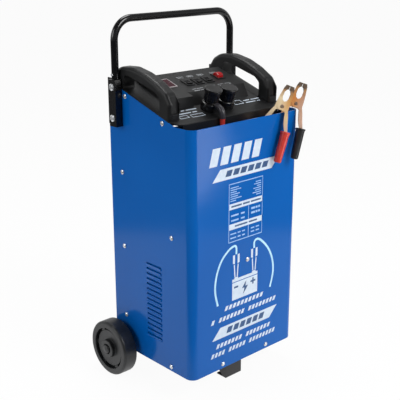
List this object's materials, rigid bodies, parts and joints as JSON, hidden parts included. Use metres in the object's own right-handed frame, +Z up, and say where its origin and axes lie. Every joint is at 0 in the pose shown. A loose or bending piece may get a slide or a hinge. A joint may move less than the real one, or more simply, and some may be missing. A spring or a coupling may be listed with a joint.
{
  "type": "trolley battery charger and starter",
  "caption": "Upright trolley battery charger and engine starter: blue folded steel case, black console, push handle, wheels, red and black clamps over a front lead bay.",
  "frame": {"origin": "on the ground, under the middle of the whole outline seen from above", "axes": "+Z up, the front panel faces -Y, the user's right seen from the front is +X"},
  "size_m": [0.4726, 0.357, 0.8875],
  "materials": {
    "blue_enamel": "gloss",
    "black_steel": "satin",
    "black_plastic": "matte",
    "wheel_plastic": "satin",
    "grey_plastic": "matte",
    "red_window": "gloss",
    "red_gloss": "gloss",
    "black_gloss": "gloss",
    "board": "matte",
    "brass": "satin",
    "plated_steel": "satin",
    "red_cable": "satin",
    "core_steel": "matte",
    "copper_wire": "satin",
    "bare_aluminium": "satin",
    "copper_plate": "satin",
    "red_grip": "satin",
    "black_grip": "satin"
  },
  "bodies": {
    "charger": {"casing_shell": "blue_enamel", "rear_panel": "blue_enamel", "base_plate": "black_steel", "bay_partition": "black_steel", "console": "black_plastic", "front_foot": "black_steel", "base_bolts": "plated_steel", "case_screws": "plated_steel", "push_handle": "black_steel", "handle_brackets": "black_steel", "bracket_bolts": "plated_steel", "handle_stop_screws": "plated_steel", "axle": "plated_steel", "wheel_spacers": "plated_steel", "axle_caps": "wheel_plastic", "display_frame": "grey_plastic", "display_window": "red_window", "display_module": "black_plastic", "control_board": "board", "rocker_frames": "black_plastic", "power_rocker_frame": "black_plastic", "terminal_bases": "black_plastic", "terminal_studs": "brass", "lead_lug": "plated_steel", "lead_sleeve": "grey_plastic", "red_lead_drop": "red_cable", "red_lead_coil": "red_cable", "red_lead_rise": "red_cable", "red_clamp_front_arm": "copper_plate", "red_clamp_rivet": "plated_steel", "red_clamp_spring": "plated_steel", "red_clamp_front_grip": "red_grip", "black_clamp_front_arm": "copper_plate", "black_clamp_rivet": "plated_steel", "black_clamp_spring": "plated_steel", "black_clamp_front_grip": "black_grip", "transformer_core": "core_steel", "core_bolts": "plated_steel", "primary_winding": "copper_wire", "secondary_winding": "copper_wire", "transformer_angles": "plated_steel", "rectifier_heatsink": "bare_aluminium", "rectifier_diodes": "plated_steel", "thermal_breaker": "board", "fan_frame": "black_plastic", "fan_screws": "plated_steel", "mains_gland": "black_plastic"},
    "left_wheel_body": {"left_wheel": "wheel_plastic"},
    "right_wheel_body": {"right_wheel": "wheel_plastic"},
    "left_rocker_body": {"left_rocker": "black_gloss"},
    "middle_rocker_body": {"middle_rocker": "black_gloss"},
    "right_rocker_body": {"right_rocker": "black_gloss"},
    "power_rocker_body": {"power_rocker": "red_gloss"},
    "left_knob_body": {"left_terminal_knob": "black_plastic"},
    "right_knob_body": {"right_terminal_knob": "black_plastic"},
    "red_back_arm_body": {"red_clamp_back_arm": "copper_plate", "red_clamp_back_grip": "red_grip"},
    "black_back_arm_body": {"black_clamp_back_arm": "copper_plate", "black_clamp_back_grip": "black_grip"},
    "fan_rotor_body": {"fan_rotor": "black_plastic"}
  },
  "joints": [
    {"name": "left_wheel_turn", "type": "hinge", "parent": "charger", "child": "left_wheel_body", "pos_m": [-0.2075, 0.1073, 0.07], "axis": [1, 0, 0], "continuous": true},
    {"name": "right_wheel_turn", "type": "hinge", "parent": "charger", "child": "right_wheel_body", "pos_m": [0.2075, 0.1073, 0.07], "axis": [1, 0, 0], "continuous": true},
    {"name": "left_rocker_tilt", "type": "hinge", "parent": "charger", "child": "left_rocker_body", "pos_m": [-0.031, 0.02076, 0.72623], "axis": [1, 0, 0], "range_deg": [0, 18]},
    {"name": "middle_rocker_tilt", "type": "hinge", "parent": "charger", "child": "middle_rocker_body", "pos_m": [0, 0.02076, 0.72623], "axis": [1, 0, 0], "range_deg": [0, 18]},
    {"name": "right_rocker_tilt", "type": "hinge", "parent": "charger", "child": "right_rocker_body", "pos_m": [0.033, 0.02076, 0.72623], "axis": [1, 0, 0], "range_deg": [0, 18]},
    {"name": "power_rocker_tilt", "type": "hinge", "parent": "charger", "child": "power_rocker_body", "pos_m": [0.075, 0.02876, 0.72881], "axis": [1, 0, 0], "range_deg": [0, 18]},
    {"name": "left_knob_turn", "type": "hinge", "parent": "charger", "child": "left_knob_body", "pos_m": [-0.036, -0.06842, 0.71117], "axis": [0, -0.3064, 0.9519], "range_deg": [0, 1080]},
    {"name": "right_knob_turn", "type": "hinge", "parent": "charger", "child": "right_knob_body", "pos_m": [0.014, -0.0675, 0.70831], "axis": [0, -0.3064, 0.9519], "range_deg": [0, 1080]},
    {"name": "red_clamp_squeeze", "type": "hinge", "parent": "charger", "child": "red_back_arm_body", "pos_m": [0.1128, -0.1487, 0.6764], "axis": [-0.6741, -0.6951, 0.25], "range_deg": [0, 10], "stiffness_Nm_per_rad": 2, "springref_deg": -20.05},
    {"name": "black_clamp_squeeze", "type": "hinge", "parent": "charger", "child": "black_back_arm_body", "pos_m": [0.1624, -0.1485, 0.6764], "axis": [-0.6833, -0.6841, 0.2552], "range_deg": [0, 10], "stiffness_Nm_per_rad": 2, "springref_deg": -20.05},
    {"name": "fan_turn", "type": "hinge", "parent": "charger", "child": "fan_rotor_body", "pos_m": [0, 0.1148, 0.392], "axis": [0, 1, 0], "continuous": true}
  ]
}
